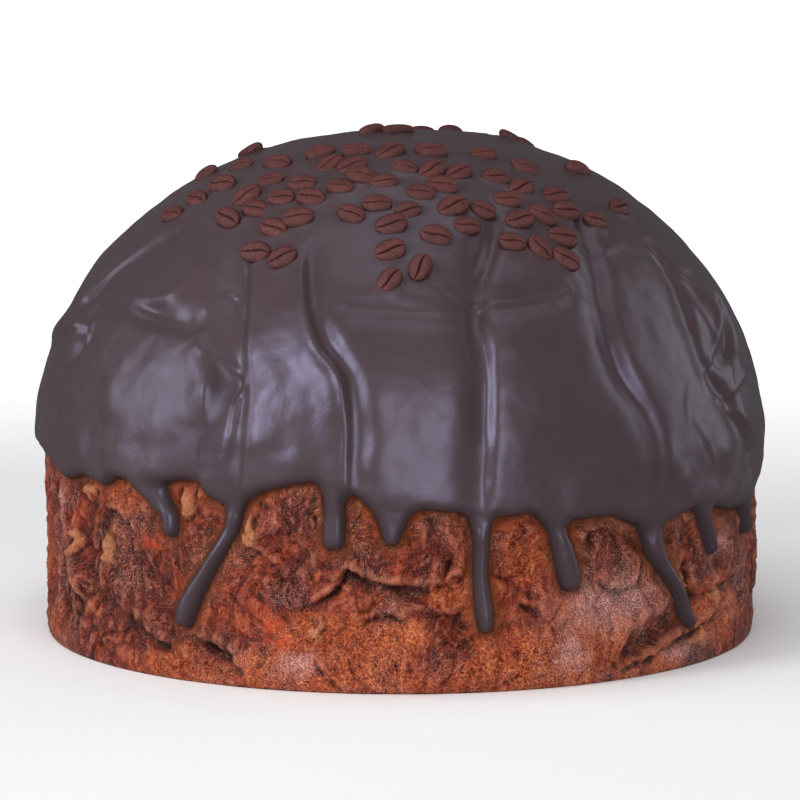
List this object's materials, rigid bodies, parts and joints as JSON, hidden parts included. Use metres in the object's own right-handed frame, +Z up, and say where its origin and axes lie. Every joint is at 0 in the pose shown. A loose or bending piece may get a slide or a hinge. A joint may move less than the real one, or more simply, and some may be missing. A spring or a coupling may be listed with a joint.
{
  "type": "panettone",
  "caption": "Tall round sweet bread with a dark chocolate glaze that drips down its craggy crust and coffee beans strewn on its crown.",
  "frame": {"origin": "centre of the flat base, on the surface that the loaf stands on", "axes": "+Z up towards the crown, -Y towards the front that the picture shows, +X to the right of that view"},
  "size_m": [0.2221, 0.2277, 0.1558],
  "materials": {
    "crust": "baked crust, glossy on its dark skin and matt where it is torn",
    "chocolate": "set dark chocolate with a soft gloss",
    "bean": "matt roasted coffee beans"
  },
  "bodies": {
    "root": {"bread": "crust", "glaze": "chocolate"}
  },
  "joints": []
}
